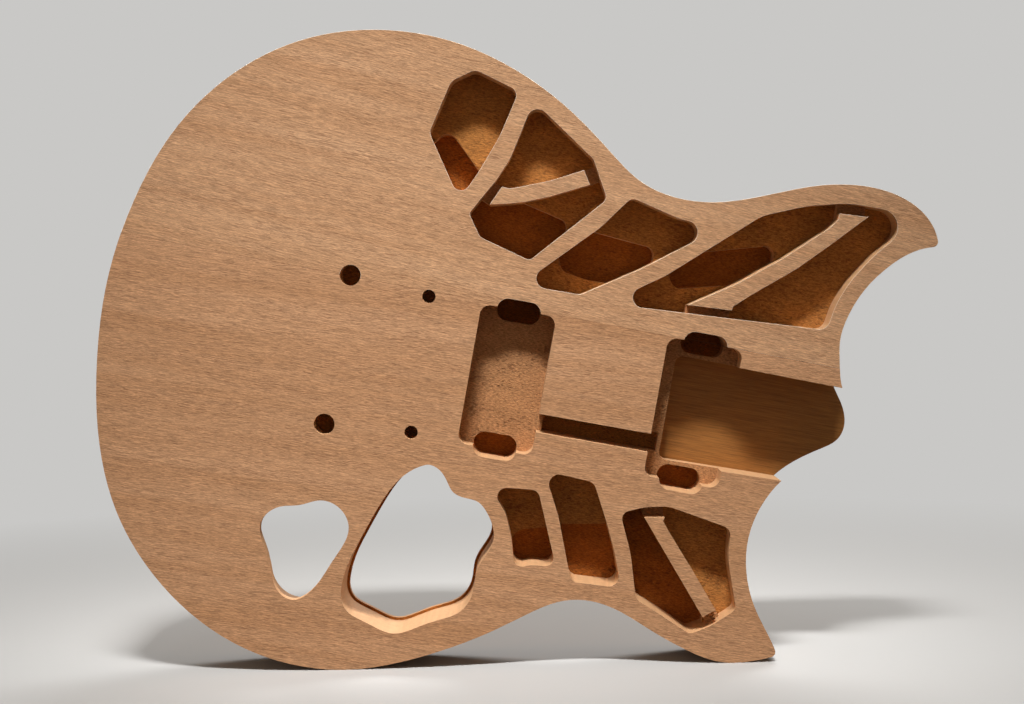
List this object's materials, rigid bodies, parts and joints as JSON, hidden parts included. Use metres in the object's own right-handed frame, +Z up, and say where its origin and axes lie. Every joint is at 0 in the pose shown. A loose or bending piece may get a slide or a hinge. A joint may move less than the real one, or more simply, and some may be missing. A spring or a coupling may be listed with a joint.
{
  "type": "electric guitar body blank",
  "caption": "Single-cutaway electric guitar body of two glued wood boards, machined with pickup pockets, neck pocket, weight-relief chambers and openings, before its cap and neck.",
  "frame": {"origin": "on the floor, below the middle of the standing body's bounding box", "axes": "+Z up; +X to the neck end, which is the picture's right; the front face looks along -Y, and the body leans 11.1 degrees in its own plane, on its rim"},
  "size_m": [0.4586, 0.045, 0.3477],
  "materials": {
    "bass_side_wood": "raw, machined, open pores",
    "treble_side_wood": "raw, machined, open pores",
    "glue": "hardened wood glue"
  },
  "bodies": {
    "root": {"bass_side_board": "bass_side_wood", "treble_side_board": "treble_side_wood", "glue_line": "glue"}
  },
  "joints": []
}
